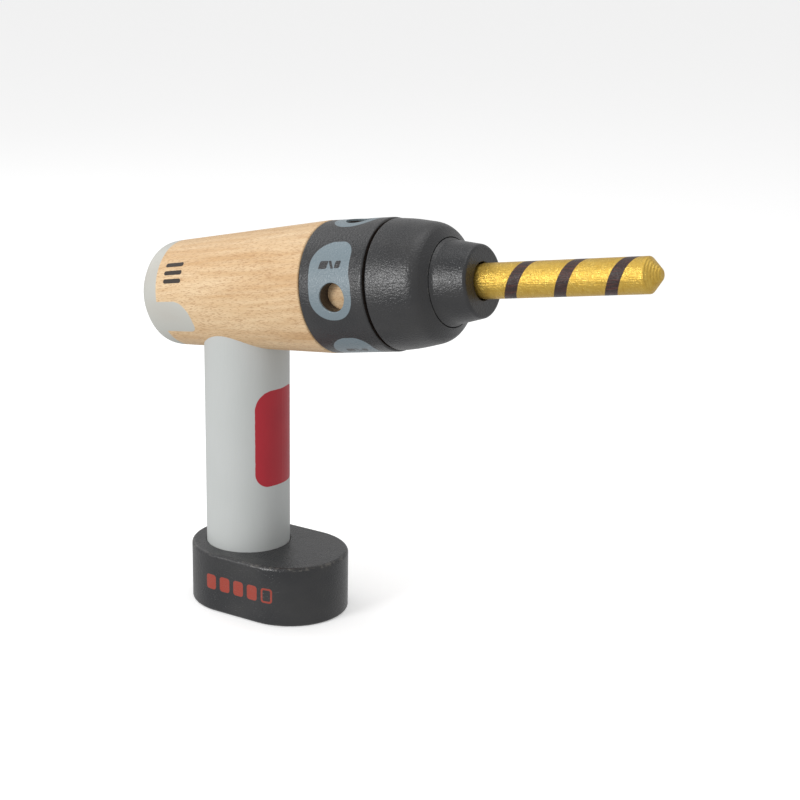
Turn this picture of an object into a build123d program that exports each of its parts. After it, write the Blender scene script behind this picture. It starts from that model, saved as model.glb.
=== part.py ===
"""Toy power drill in turned beech: a pistol body, a turning selector ring, a turning chuck and a pull-out bit.

Millimetres, +Z up. The origin is the centre of the base's underside, +X points towards the bit.
Each separate piece is its own solid, and is written to parts/ under its own name.
"""

import os
from math import cos, pi, radians, sin

from build123d import *

os.makedirs("parts", exist_ok=True)

# ---------------------------------------------------------------- layout
HANDLE_X = -11.1  # the handle stands behind the middle of the base
AXIS_HEIGHT = 132.7  # where the drill axis crosses the handle's axis
TILT_DEG = 9.6  # the drill axis rises towards the bit

# ---------------------------------------------------------------- base and handle
BASE_STRAIGHT = 21.6  # distance between the two end arcs' centres
BASE_END_RADIUS = 24.0
BASE_HEIGHT = 25.4
BASE_TOP_ROUND = 1.6
BASE_FOOT_ROUND = 1.0
HANDLE_RADIUS = 17.5
SOCKET_FLOOR = 12.0  # height of the handle socket's floor above the underside
SOCKET_MOUTH_CHAMFER = 0.5
HANDLE_TOP = 138.5

# fixing under the base: a plugged counterbore with washer and screw, into an insert in the handle's foot
PLUG_RADIUS = 8.0
PLUG_RECESS = 0.3
PLUG_THICKNESS = 3.0
PLUG_CHAMFER = 0.4
WASHER_THICKNESS = 1.0
SCREW_HEAD_HEIGHT = 2.8
SCREW_RADIUS = 2.5
SCREW_CLEARANCE_RADIUS = 2.75
SCREW_HEAD_RADIUS = 4.75
SCREW_HEAD_ROUND = 1.0
SCREW_TIP_CHAMFER = 0.6
CROSS_SLOT_LENGTH = 5.0
CROSS_SLOT_WIDTH = 1.1
CROSS_SLOT_DEPTH = 1.4
SCREW_TIP_HEIGHT = 25.0
BASE_WASHER_RADIUS = 7.5
INSERT_RADIUS = 4.0
INSERT_LENGTH = 14.0

# loose dowel between the handle's top and the barrel
DOWEL_RADIUS = 4.0
DOWEL_LENGTH = 20.0
DOWEL_IN_HANDLE = 12.0
DOWEL_CHAMFER = 0.8

# ---------------------------------------------------------------- stations along the drill axis
BARREL_REAR = -45.3
BARREL_REAR_FLAT_RADIUS = 3.0
TAIL_POINTS = ((-44.6, 9.2), (-42.2, 14.7), (-38.6, 18.8))  # station and radius along the dome
TAPER_START = -31.5
TAPER_START_RADIUS = 21.7
BARREL_FRONT = 45.2
BARREL_FRONT_RADIUS = 26.2
BARREL_FRONT_ROUND = 0.8
TENON_RADIUS = 20.0
TENON_EDGE_ROUND = 0.5
TENON_FRONT = 74.5

DRAG_GROOVE_STATION = 49.6  # rubber drag ring between tenon and selector ring
DRAG_CORD_RADIUS = 1.0
DRAG_RING_RADIUS = 18.95

RING_REAR = 45.35
RING_FRONT = 74.4
RING_REAR_RADIUS = 26.1
RING_FRONT_RADIUS = 25.9
RING_BORE_RADIUS = 20.08
RING_EDGE_ROUND = 0.7
WINDOW_STATION = 60.4
WINDOW_RADIUS = 5.6
WINDOW_COUNT = 4
WINDOW_EDGE_ROUND = 0.3

WASHER_FRONT = 75.2
WASHER_OUTER_RADIUS = 23.8

SLEEVE_REAR = 75.3
SLEEVE_REAR_RADIUS = 25.45
SLEEVE_REAR_ROUND = 0.7
DOME_POINTS = ((84.0, 24.65), (90.0, 23.65), (94.0, 22.65))  # station and radius along the bulge
SLEEVE_WEB_FRONT = 83.0
SLEEVE_CAVITY_RADIUS = 11.5
SLEEVE_LIP = 96.3
SLEEVE_LIP_RADIUS = 20.9
SLEEVE_FRONT = 98.5
SLEEVE_FRONT_RADIUS = 17.3
NOSE_SEAT = 98.1
NOSE_SEAT_RADIUS = 16.9

NOSE_SPIGOT_REAR = 88.6
NOSE_FLANGE_FRONT = 98.6
NOSE_FLANGE_ROUND = 0.3
NOSE_FOOT_STATION = 99.7  # the taper starts here
NOSE_FOOT_RADIUS = 16.15
NOSE_FOOT_HOLLOW = 1.6  # radius of the hollow at the foot
NOSE_FRONT = 112.3
NOSE_FRONT_RADIUS = 13.85
NOSE_EDGE_ROUND = 1.4
SOCKET_MOUTH_ROUND = 0.6
SOCKET_FLOOR_STATION = 91.7
SOCKET_RADIUS = 7.15
MAGNET_RADIUS = 5.0
MAGNET_FRONT = 91.55
MAGNET_REAR = 88.75

BIT_REAR = 91.8
BIT_SHANK_RADIUS = 6.5  # the part inside the socket
BIT_SHANK_END = 112.9
BIT_RADIUS = 6.8
BIT_REAR_ROUND = 0.6
BIT_CONE_START = 180.6
BIT_CONE_ROUND = 0.8
BIT_TIP = 185.3
BIT_TIP_FLAT_RADIUS = 1.9
BIT_TIP_ROUND = 1.7
BIT_PLATE_RADIUS = 4.5
BIT_PLATE_THICKNESS = 2.0

# axle of the chuck: a shoulder screw in a threaded insert
TENON_INSERT_RADIUS = 5.0
TENON_INSERT_REAR = 59.5
AXLE_THREAD_RADIUS = 3.0
AXLE_THREAD_REAR = 60.9
AXLE_SHOULDER_RADIUS = 4.0
AXLE_SHOULDER_FRONT = 84.15
AXLE_HEAD_FRONT = 87.65
AXLE_HEAD_RADIUS = 6.5
AXLE_HEAD_ROUND = 0.8
AXLE_KEY_ACROSS_FLATS = 4.0
AXLE_KEY_DEPTH = 2.0
AXLE_WASHER_REAR = 83.15
AXLE_WASHER_RADIUS = 7.5
BUSH_OUTER_RADIUS = 6.0
BUSH_BORE_RADIUS = 4.06
SHOULDER_HOLE_RADIUS = 4.05

TILT = radians(TILT_DEG)
AXIS_DIRECTION = Vector(cos(TILT), 0, sin(TILT))
AXIS_UP = Vector(-sin(TILT), 0, cos(TILT))
AXIS_ORIGIN = Vector(HANDLE_X, 0, AXIS_HEIGHT)
DRILL_AXIS = Axis(AXIS_ORIGIN, AXIS_DIRECTION)
# local X runs along the drill axis, local Y is the radius
PROFILE_PLANE = Plane(origin=AXIS_ORIGIN, x_dir=AXIS_DIRECTION, z_dir=(0, -1, 0))


def station(distance):
    """Plane square to the drill axis, facing the bit, at a distance from the handle's axis."""
    origin = AXIS_ORIGIN + AXIS_DIRECTION * distance
    return Plane(origin=origin, x_dir=(0, -1, 0), z_dir=AXIS_DIRECTION)


def radial_plane(distance, angle_deg):
    """Plane through the drill axis at a station, facing outward at an angle from the -Y side."""
    angle = radians(angle_deg)
    outward = Vector(0, -1, 0) * cos(angle) + AXIS_UP * sin(angle)
    origin = AXIS_ORIGIN + AXIS_DIRECTION * distance
    return Plane(origin=origin, x_dir=AXIS_DIRECTION, z_dir=outward)


def round_corner(sketch, x, y, radius):
    """Round the sketch corner nearest to a point."""
    fillet(sketch.vertices().sort_by_distance((x, y, 0))[0], radius=radius)


def save(piece, name):
    """Name a finished piece and write it out."""
    piece.label = name
    export_step(piece, f"parts/{name}.step")


# ================================================================ housing
# barrel: turned body with the tenon that carries the ring
with BuildPart() as barrel:
    with BuildSketch(PROFILE_PLANE) as barrel_profile:
        with BuildLine():
            Polyline(
                (TAPER_START, TAPER_START_RADIUS),
                (BARREL_FRONT, BARREL_FRONT_RADIUS),
                (BARREL_FRONT, TENON_RADIUS),
                (TENON_FRONT, TENON_RADIUS),
                (TENON_FRONT, 0),
                (BARREL_REAR, 0),
                (BARREL_REAR, BARREL_REAR_FLAT_RADIUS),
            )
            Spline(
                (BARREL_REAR, BARREL_REAR_FLAT_RADIUS),
                *TAIL_POINTS,
                (TAPER_START, TAPER_START_RADIUS),
                tangents=[
                    (0, 1),
                    (BARREL_FRONT - TAPER_START, BARREL_FRONT_RADIUS - TAPER_START_RADIUS),
                ],
            )
        make_face()
        round_corner(barrel_profile, BARREL_FRONT, BARREL_FRONT_RADIUS, BARREL_FRONT_ROUND)
        round_corner(barrel_profile, TENON_FRONT, TENON_RADIUS, TENON_EDGE_ROUND)
    revolve(axis=DRILL_AXIS)
    # blind bore for the handle, and the dowel hole in its roof
    with BuildSketch(Plane.XY.offset(HANDLE_TOP)):
        with Locations((HANDLE_X, 0)):
            Circle(HANDLE_RADIUS)
    extrude(amount=-2 * BARREL_FRONT_RADIUS, mode=Mode.SUBTRACT)
    with BuildSketch(Plane.XY.offset(HANDLE_TOP)):
        with Locations((HANDLE_X, 0)):
            Circle(DOWEL_RADIUS)
    extrude(amount=DOWEL_LENGTH - DOWEL_IN_HANDLE, mode=Mode.SUBTRACT)
    # hole for the axle's insert
    with BuildSketch(station(TENON_FRONT)):
        Circle(TENON_INSERT_RADIUS)
    extrude(amount=TENON_INSERT_REAR - TENON_FRONT, mode=Mode.SUBTRACT)
    # round groove for the drag ring
    with BuildSketch(PROFILE_PLANE):
        with Locations((DRAG_GROOVE_STATION, DRAG_RING_RADIUS)):
            Circle(DRAG_CORD_RADIUS)
        with Locations((DRAG_GROOVE_STATION, TENON_RADIUS)):
            Rectangle(2 * DRAG_CORD_RADIUS, 2 * (TENON_RADIUS - DRAG_RING_RADIUS))
    revolve(axis=DRILL_AXIS, mode=Mode.SUBTRACT)
save(barrel.part, "barrel")

# handle: straight dowel from the base's socket into the barrel
with BuildPart() as handle:
    with BuildSketch(Plane.XY.offset(SOCKET_FLOOR)):
        with Locations((HANDLE_X, 0)):
            Circle(HANDLE_RADIUS)
    extrude(amount=HANDLE_TOP - SOCKET_FLOOR)
    with BuildSketch(Plane.XY.offset(HANDLE_TOP)):
        with Locations((HANDLE_X, 0)):
            Circle(DOWEL_RADIUS)
    extrude(amount=-DOWEL_IN_HANDLE, mode=Mode.SUBTRACT)
    with BuildSketch(Plane.XY.offset(SOCKET_FLOOR)):
        with Locations((HANDLE_X, 0)):
            Circle(INSERT_RADIUS)
    extrude(amount=INSERT_LENGTH, mode=Mode.SUBTRACT)
save(handle.part, "handle")

# dowel hidden in the joint between handle and barrel
with BuildPart() as barrel_dowel:
    with BuildSketch(Plane.XY.offset(HANDLE_TOP - DOWEL_IN_HANDLE)):
        with Locations((HANDLE_X, 0)):
            Circle(DOWEL_RADIUS)
    extrude(amount=DOWEL_LENGTH)
    chamfer(barrel_dowel.edges().filter_by(GeomType.CIRCLE), length=DOWEL_CHAMFER)
save(barrel_dowel.part, "barrel_dowel")

# battery-shaped base with rounded ends
COUNTERBORE_DEPTH = PLUG_RECESS + PLUG_THICKNESS + SCREW_HEAD_HEIGHT + WASHER_THICKNESS
with BuildPart() as battery_base:
    with BuildSketch():
        SlotCenterToCenter(BASE_STRAIGHT, 2 * BASE_END_RADIUS)
    extrude(amount=BASE_HEIGHT)
    fillet(battery_base.faces().sort_by(Axis.Z)[-1].edges(), radius=BASE_TOP_ROUND)
    fillet(battery_base.faces().sort_by(Axis.Z)[0].edges(), radius=BASE_FOOT_ROUND)
    with BuildSketch(Plane.XY.offset(SOCKET_FLOOR)):
        with Locations((HANDLE_X, 0)):
            Circle(HANDLE_RADIUS)
    extrude(amount=BASE_HEIGHT, mode=Mode.SUBTRACT)
    socket_mouth = battery_base.edges().filter_by(GeomType.CIRCLE).group_by(Axis.Z)[-1]
    socket_mouth = socket_mouth.filter_by(lambda edge: abs(edge.radius - HANDLE_RADIUS) < 0.01)
    chamfer(socket_mouth, length=SOCKET_MOUTH_CHAMFER)
    with BuildSketch(Plane.XY):
        with Locations((HANDLE_X, 0)):
            Circle(PLUG_RADIUS)
    extrude(amount=COUNTERBORE_DEPTH, mode=Mode.SUBTRACT)
    with BuildSketch(Plane.XY):
        with Locations((HANDLE_X, 0)):
            Circle(SCREW_CLEARANCE_RADIUS)
    extrude(amount=SOCKET_FLOOR + 1, mode=Mode.SUBTRACT)
save(battery_base.part, "battery_base")

# plug that closes the counterbore
with BuildPart() as base_plug:
    with BuildSketch(Plane.XY.offset(PLUG_RECESS)):
        with Locations((HANDLE_X, 0)):
            Circle(PLUG_RADIUS)
    extrude(amount=PLUG_THICKNESS)
    chamfer(base_plug.edges().group_by(Axis.Z)[0], length=PLUG_CHAMFER)
save(base_plug.part, "base_plug")

# pan-head screw, head down
HEAD_BOTTOM = PLUG_RECESS + PLUG_THICKNESS
with BuildPart() as base_screw:
    with BuildSketch(Plane.XY.offset(HEAD_BOTTOM)):
        with Locations((HANDLE_X, 0)):
            Circle(SCREW_HEAD_RADIUS)
    extrude(amount=SCREW_HEAD_HEIGHT)
    fillet(base_screw.edges().group_by(Axis.Z)[0], radius=SCREW_HEAD_ROUND)
    with BuildSketch(Plane.XY.offset(HEAD_BOTTOM + SCREW_HEAD_HEIGHT)):
        with Locations((HANDLE_X, 0)):
            Circle(SCREW_RADIUS)
    extrude(amount=SCREW_TIP_HEIGHT - HEAD_BOTTOM - SCREW_HEAD_HEIGHT)
    chamfer(base_screw.edges().group_by(Axis.Z)[-1], length=SCREW_TIP_CHAMFER)
    with BuildSketch(Plane.XY.offset(HEAD_BOTTOM)):
        with Locations((HANDLE_X, 0)):
            Rectangle(CROSS_SLOT_LENGTH, CROSS_SLOT_WIDTH)
            Rectangle(CROSS_SLOT_WIDTH, CROSS_SLOT_LENGTH)
    extrude(amount=CROSS_SLOT_DEPTH, mode=Mode.SUBTRACT)
save(base_screw.part, "base_screw")

# flat washer under the screw's head
with BuildPart() as base_washer:
    with BuildSketch(Plane.XY.offset(HEAD_BOTTOM + SCREW_HEAD_HEIGHT)):
        with Locations((HANDLE_X, 0)):
            Circle(BASE_WASHER_RADIUS)
            Circle(SCREW_CLEARANCE_RADIUS, mode=Mode.SUBTRACT)
    extrude(amount=WASHER_THICKNESS)
save(base_washer.part, "base_washer")

# threaded insert in the handle's foot
with BuildPart() as handle_insert:
    with BuildSketch(Plane.XY.offset(SOCKET_FLOOR)):
        with Locations((HANDLE_X, 0)):
            Circle(INSERT_RADIUS)
            Circle(SCREW_RADIUS, mode=Mode.SUBTRACT)
    extrude(amount=INSERT_LENGTH)
save(handle_insert.part, "handle_insert")

# threaded insert in the tenon
with BuildPart() as tenon_insert:
    with BuildSketch(station(TENON_INSERT_REAR)):
        Circle(TENON_INSERT_RADIUS)
        Circle(AXLE_THREAD_RADIUS, mode=Mode.SUBTRACT)
    extrude(amount=TENON_FRONT - TENON_INSERT_REAR)
save(tenon_insert.part, "tenon_insert")

# shoulder screw on which the chuck turns
with BuildPart() as axle_screw:
    with BuildSketch(PROFILE_PLANE) as axle_profile:
        with BuildLine():
            Polyline(
                (AXLE_THREAD_REAR, 0),
                (AXLE_THREAD_REAR, AXLE_THREAD_RADIUS),
                (TENON_FRONT, AXLE_THREAD_RADIUS),
                (TENON_FRONT, AXLE_SHOULDER_RADIUS),
                (AXLE_SHOULDER_FRONT, AXLE_SHOULDER_RADIUS),
                (AXLE_SHOULDER_FRONT, AXLE_HEAD_RADIUS),
                (AXLE_HEAD_FRONT, AXLE_HEAD_RADIUS),
                (AXLE_HEAD_FRONT, 0),
                close=True,
            )
        make_face()
        round_corner(axle_profile, AXLE_HEAD_FRONT, AXLE_HEAD_RADIUS, AXLE_HEAD_ROUND)
    revolve(axis=DRILL_AXIS)
    with BuildSketch(station(AXLE_HEAD_FRONT)):
        RegularPolygon(AXLE_KEY_ACROSS_FLATS / 2, 6, major_radius=False)
    extrude(amount=-AXLE_KEY_DEPTH, mode=Mode.SUBTRACT)
save(axle_screw.part, "axle_screw")

# washer between the screw's head and the chuck's bush
with BuildPart() as axle_washer:
    with BuildSketch(station(AXLE_WASHER_REAR)):
        Circle(AXLE_WASHER_RADIUS)
        Circle(SHOULDER_HOLE_RADIUS, mode=Mode.SUBTRACT)
    extrude(amount=AXLE_SHOULDER_FRONT - AXLE_WASHER_REAR)
save(axle_washer.part, "axle_washer")

# dark fibre washer on the tenon's end: it keeps the ring on and carries the chuck
with BuildPart() as thrust_washer:
    with BuildSketch(station(TENON_FRONT)):
        Circle(WASHER_OUTER_RADIUS)
        Circle(SHOULDER_HOLE_RADIUS, mode=Mode.SUBTRACT)
    extrude(amount=WASHER_FRONT - TENON_FRONT)
save(thrust_washer.part, "thrust_washer")

# rubber ring that gives the selector ring its drag
with BuildPart() as drag_ring:
    with BuildSketch(PROFILE_PLANE):
        with Locations((DRAG_GROOVE_STATION, DRAG_RING_RADIUS)):
            Circle(DRAG_CORD_RADIUS)
    revolve(axis=DRILL_AXIS)
save(drag_ring.part, "drag_ring")

# ================================================================ selector ring
with BuildPart() as selector_ring:
    with BuildSketch(PROFILE_PLANE) as ring_profile:
        with BuildLine():
            Polyline(
                (RING_REAR, RING_BORE_RADIUS),
                (RING_REAR, RING_REAR_RADIUS),
                (RING_FRONT, RING_FRONT_RADIUS),
                (RING_FRONT, RING_BORE_RADIUS),
                close=True,
            )
        make_face()
        round_corner(ring_profile, RING_REAR, RING_REAR_RADIUS, RING_EDGE_ROUND)
        round_corner(ring_profile, RING_FRONT, RING_FRONT_RADIUS, RING_EDGE_ROUND)
    revolve(axis=DRILL_AXIS)
    # round windows through the wall
    for window in range(WINDOW_COUNT):
        with BuildSketch(radial_plane(WINDOW_STATION, window * 360 / WINDOW_COUNT)):
            Circle(WINDOW_RADIUS)
        extrude(amount=RING_REAR_RADIUS + 1, mode=Mode.SUBTRACT)
    window_rims = selector_ring.edges().filter_by(
        lambda edge: abs(edge.length - 2 * pi * WINDOW_RADIUS) < 2.0
        and abs(edge.center() - AXIS_ORIGIN - AXIS_DIRECTION * WINDOW_STATION) > RING_BORE_RADIUS + 3
    )
    fillet(window_rims, radius=WINDOW_EDGE_ROUND)
save(selector_ring.part, "selector_ring")

# ================================================================ chuck
# domed sleeve: the profile bulges forward from the rear rim to the lip
with BuildPart() as chuck_sleeve:
    with BuildSketch(PROFILE_PLANE) as sleeve_profile:
        with BuildLine():
            Polyline(
                (SLEEVE_LIP, SLEEVE_LIP_RADIUS),
                (SLEEVE_FRONT, SLEEVE_FRONT_RADIUS),
                (NOSE_SEAT, NOSE_SEAT_RADIUS),
                (NOSE_SEAT, SLEEVE_CAVITY_RADIUS),
                (SLEEVE_WEB_FRONT, SLEEVE_CAVITY_RADIUS),
                (SLEEVE_WEB_FRONT, BUSH_OUTER_RADIUS),
                (SLEEVE_REAR, BUSH_OUTER_RADIUS),
                (SLEEVE_REAR, SLEEVE_REAR_RADIUS),
            )
            Spline(
                (SLEEVE_REAR, SLEEVE_REAR_RADIUS),
                *DOME_POINTS,
                (SLEEVE_LIP, SLEEVE_LIP_RADIUS),
            )
        make_face()
        round_corner(sleeve_profile, SLEEVE_REAR, SLEEVE_REAR_RADIUS, SLEEVE_REAR_ROUND)
    revolve(axis=DRILL_AXIS)
save(chuck_sleeve.part, "chuck_sleeve")

# bush pressed into the sleeve's web
with BuildPart() as chuck_bush:
    with BuildSketch(station(SLEEVE_REAR)):
        Circle(BUSH_OUTER_RADIUS)
        Circle(BUSH_BORE_RADIUS, mode=Mode.SUBTRACT)
    extrude(amount=SLEEVE_WEB_FRONT - SLEEVE_REAR)
save(chuck_bush.part, "chuck_bush")

# nose: tapered, with a spigot glued into the sleeve and the bit's socket
with BuildPart() as chuck_nose:
    with BuildSketch(PROFILE_PLANE) as nose_profile:
        with BuildLine():
            Polyline(
                (NOSE_SPIGOT_REAR, MAGNET_RADIUS),
                (NOSE_SPIGOT_REAR, SLEEVE_CAVITY_RADIUS),
                (NOSE_SEAT, SLEEVE_CAVITY_RADIUS),
                (NOSE_SEAT, NOSE_SEAT_RADIUS),
                (NOSE_FLANGE_FRONT, NOSE_SEAT_RADIUS),
                (NOSE_FOOT_STATION, NOSE_FOOT_RADIUS),
                (NOSE_FRONT, NOSE_FRONT_RADIUS),
                (NOSE_FRONT, SOCKET_RADIUS),
                (SOCKET_FLOOR_STATION, SOCKET_RADIUS),
                (SOCKET_FLOOR_STATION, MAGNET_RADIUS),
                close=True,
            )
        make_face()
        round_corner(nose_profile, NOSE_FLANGE_FRONT, NOSE_SEAT_RADIUS, NOSE_FLANGE_ROUND)
        round_corner(nose_profile, NOSE_FOOT_STATION, NOSE_FOOT_RADIUS, NOSE_FOOT_HOLLOW)
        round_corner(nose_profile, NOSE_FRONT, NOSE_FRONT_RADIUS, NOSE_EDGE_ROUND)
        round_corner(nose_profile, NOSE_FRONT, SOCKET_RADIUS, SOCKET_MOUTH_ROUND)
    revolve(axis=DRILL_AXIS)
save(chuck_nose.part, "chuck_nose")

# disc magnet at the bottom of the socket
with BuildPart() as bit_magnet:
    with BuildSketch(station(MAGNET_REAR)):
        Circle(MAGNET_RADIUS)
    extrude(amount=MAGNET_FRONT - MAGNET_REAR)
save(bit_magnet.part, "bit_magnet")

# ================================================================ bit
with BuildPart() as drill_bit:
    with BuildSketch(PROFILE_PLANE) as bit_profile:
        with BuildLine():
            Polyline(
                (BIT_REAR, BIT_PLATE_RADIUS),
                (BIT_REAR, BIT_SHANK_RADIUS),
                (BIT_SHANK_END, BIT_SHANK_RADIUS),
                (BIT_SHANK_END, BIT_RADIUS),
                (BIT_CONE_START, BIT_RADIUS),
                (BIT_TIP, BIT_TIP_FLAT_RADIUS),
                (BIT_TIP, 0),
                (BIT_REAR + BIT_PLATE_THICKNESS, 0),
                (BIT_REAR + BIT_PLATE_THICKNESS, BIT_PLATE_RADIUS),
                close=True,
            )
        make_face()
        round_corner(bit_profile, BIT_REAR, BIT_SHANK_RADIUS, BIT_REAR_ROUND)
        round_corner(bit_profile, BIT_CONE_START, BIT_RADIUS, BIT_CONE_ROUND)
        round_corner(bit_profile, BIT_TIP, BIT_TIP_FLAT_RADIUS, BIT_TIP_ROUND)
    revolve(axis=DRILL_AXIS)
save(drill_bit.part, "drill_bit")

# steel disc in the bit's rear end, held by the magnet
with BuildPart() as bit_plate:
    with BuildSketch(station(BIT_REAR)):
        Circle(BIT_PLATE_RADIUS)
    extrude(amount=BIT_PLATE_THICKNESS)
save(bit_plate.part, "bit_plate")
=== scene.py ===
"""Looks of a wooden toy power drill: painted beech, printed marks and turned hardware."""

import logging
import math
from dataclasses import dataclass, field
from enum import Enum
from functools import partialmethod
from typing import Dict, List, Optional, Sequence, Tuple, Union

import bmesh
import bpy
from mathutils import Matrix, Vector


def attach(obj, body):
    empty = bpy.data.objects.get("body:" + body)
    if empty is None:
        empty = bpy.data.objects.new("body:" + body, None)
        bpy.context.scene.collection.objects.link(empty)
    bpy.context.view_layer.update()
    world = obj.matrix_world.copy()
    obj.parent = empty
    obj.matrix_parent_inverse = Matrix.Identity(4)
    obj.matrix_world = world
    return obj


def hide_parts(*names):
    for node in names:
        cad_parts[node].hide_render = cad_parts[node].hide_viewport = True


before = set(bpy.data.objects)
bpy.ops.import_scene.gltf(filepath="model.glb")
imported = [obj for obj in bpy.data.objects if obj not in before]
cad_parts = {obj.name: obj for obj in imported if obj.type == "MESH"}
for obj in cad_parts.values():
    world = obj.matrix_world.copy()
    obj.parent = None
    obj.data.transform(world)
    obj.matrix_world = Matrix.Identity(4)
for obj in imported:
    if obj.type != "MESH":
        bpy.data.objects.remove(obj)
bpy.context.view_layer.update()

log = logging.getLogger("toy_drill")

Colour = Tuple[float, float, float, float]
Socket = bpy.types.NodeSocket
Outputs = bpy.types.NodeOutputs
Tree = bpy.types.NodeTree
Mesh = bpy.types.Mesh
Value = Union[float, Sequence[float], Socket]

MM = 0.001
AXIS_HEIGHT = 132.7 * MM
HANDLE_X = -11.1 * MM
TILT = math.radians(9.6)
FLOAT = "NodeSocketFloat"
VECTOR = "NodeSocketVector"
PRINT_EDGE = 0.12  # half width of a printed edge, in millimetres


def srgb(red: int, green: int, blue: int) -> Colour:
    """Turn an 8-bit display colour into a linear one.

    Args:
        red: Red, 0 to 255.
        green: Green, 0 to 255.
        blue: Blue, 0 to 255.

    Returns:
        The linear colour with full alpha.
    """

    def linear(level: int) -> float:
        share = level / 255
        if share <= 0.04045:
            return share / 12.92
        return ((share + 0.055) / 1.055) ** 2.4

    return (linear(red), linear(green), linear(blue), 1.0)


class Slot(Enum):
    """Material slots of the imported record."""

    BEECH = "beech"
    GREY_PAINT = "grey_paint"
    BLACK_PAINT = "black_paint"
    GOLD_PAINT = "gold_paint"
    DOWEL_WOOD = "dowel_wood"
    ZINC_STEEL = "zinc_steel"
    BRASS = "brass"
    BLACK_FIBRE = "black_fibre"
    RUBBER = "rubber"
    NYLON = "nylon"
    MAGNET_PLATE = "magnet_plate"


class Body(Enum):
    """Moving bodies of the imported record."""

    HOUSING = "housing"
    RING = "ring"
    CHUCK = "chuck"
    BIT = "bit"


class Axle(Enum):
    """Axes that a turned piece is dressed about: location in metres and turn in radians."""

    DRILL = ((HANDLE_X, 0.0, AXIS_HEIGHT), (0.0, -TILT, 0.0))
    HANDLE = ((HANDLE_X, 0.0, 0.0), (0.0, -math.pi / 2, 0.0))
    BASE = ((0.0, 0.0, 0.0), (0.0, 0.0, 0.0))

    @property
    def location(self) -> Tuple[float, float, float]:
        """Point on the axis, in metres."""
        return self.value[0]

    @property
    def turn(self) -> Tuple[float, float, float]:
        """Turn that lays local X along the axis, in radians."""
        return self.value[1]

    @property
    def matrix(self) -> Matrix:
        """Matrix from millimetres about the axis to metres in the row frame."""
        turned = Matrix.Rotation(self.turn[1], 4, "Y")
        return Matrix.Translation(self.location) @ turned @ Matrix.Scale(MM, 4)


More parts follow.
